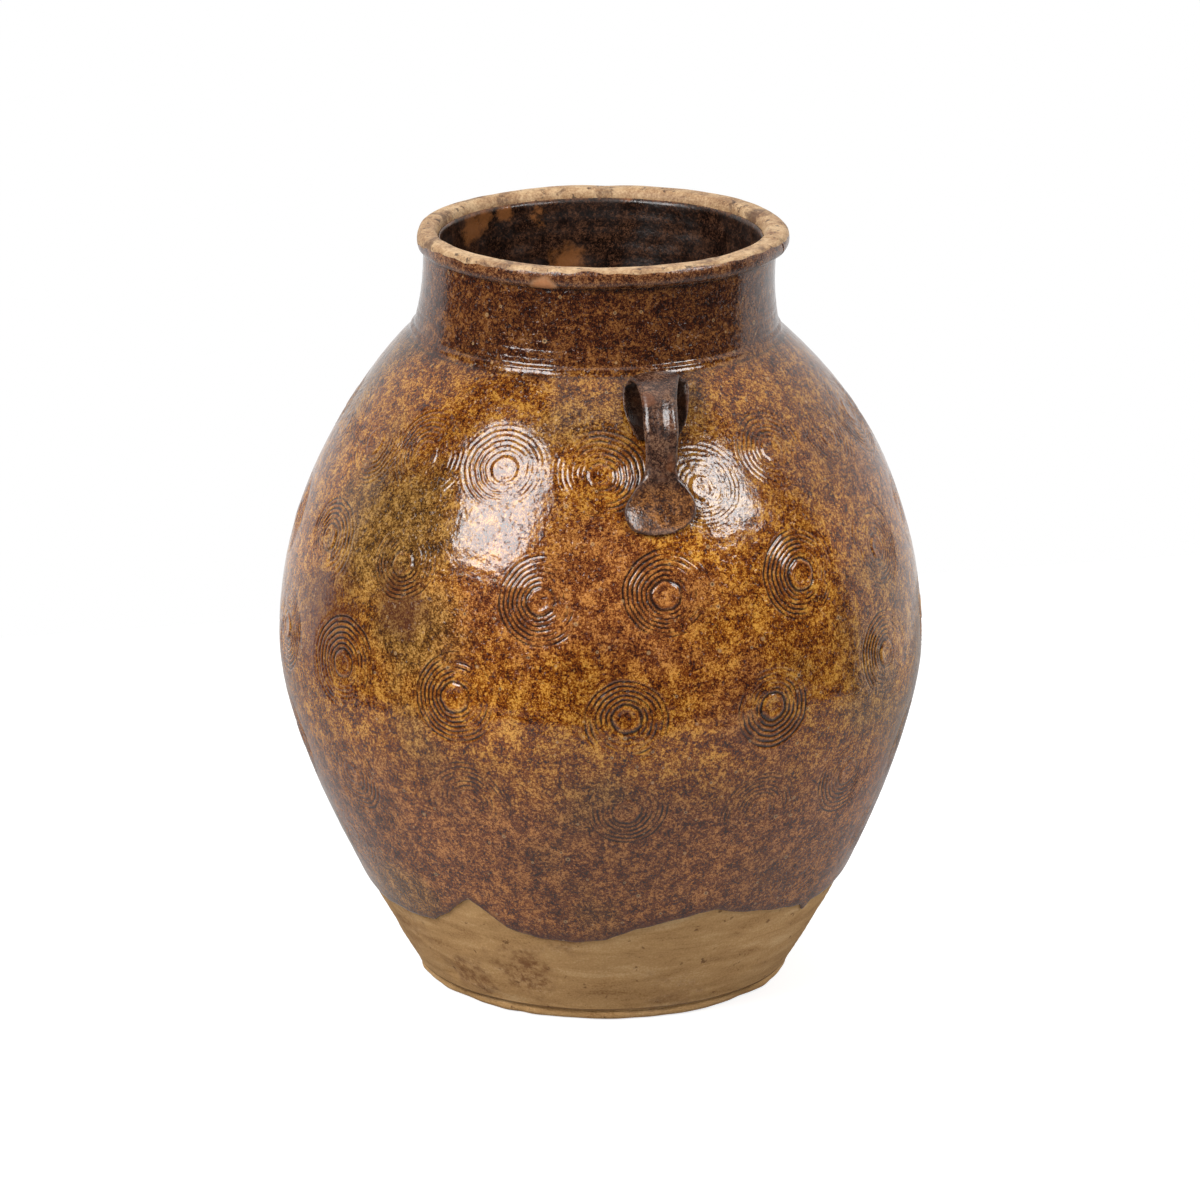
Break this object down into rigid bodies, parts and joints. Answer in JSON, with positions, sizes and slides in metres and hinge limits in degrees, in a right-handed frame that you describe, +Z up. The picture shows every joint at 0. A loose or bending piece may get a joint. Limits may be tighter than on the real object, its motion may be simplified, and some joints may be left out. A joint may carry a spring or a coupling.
{
  "type": "storage jar",
  "caption": "Ovoid stoneware storage jar with a low collar neck, a rolled rim, two strap lugs on the shoulder and a brown glaze that stops above a bare foot.",
  "frame": {"origin": "centre of the foot, on the surface the jar stands on", "axes": "+Z up along the jar's axis; the lugs stand on the -Y and +Y sides, and the lug on -Y is the one the picture shows"},
  "size_m": [0.342, 0.342, 0.404],
  "materials": {
    "clay": "bare fired stoneware, matt, stained",
    "rim_clay": "bare rubbed rim, patches of dark glaze",
    "lug_glaze": "thin grey-brown glaze, glossy",
    "brown_glaze": "amber-brown speckled glaze, glossy",
    "lining_glaze": "dark brown thin glaze, satin"
  },
  "bodies": {
    "root": {"base_disc": "clay", "lower_wall": "clay", "belly_wall": "clay", "shoulder_wall": "clay", "neck_collar": "clay", "neck_coil": "clay", "rolled_rim": "rim_clay", "front_lug": "lug_glaze", "back_lug": "lug_glaze", "outer_glaze": "brown_glaze", "inner_glaze": "lining_glaze"}
  },
  "joints": []
}
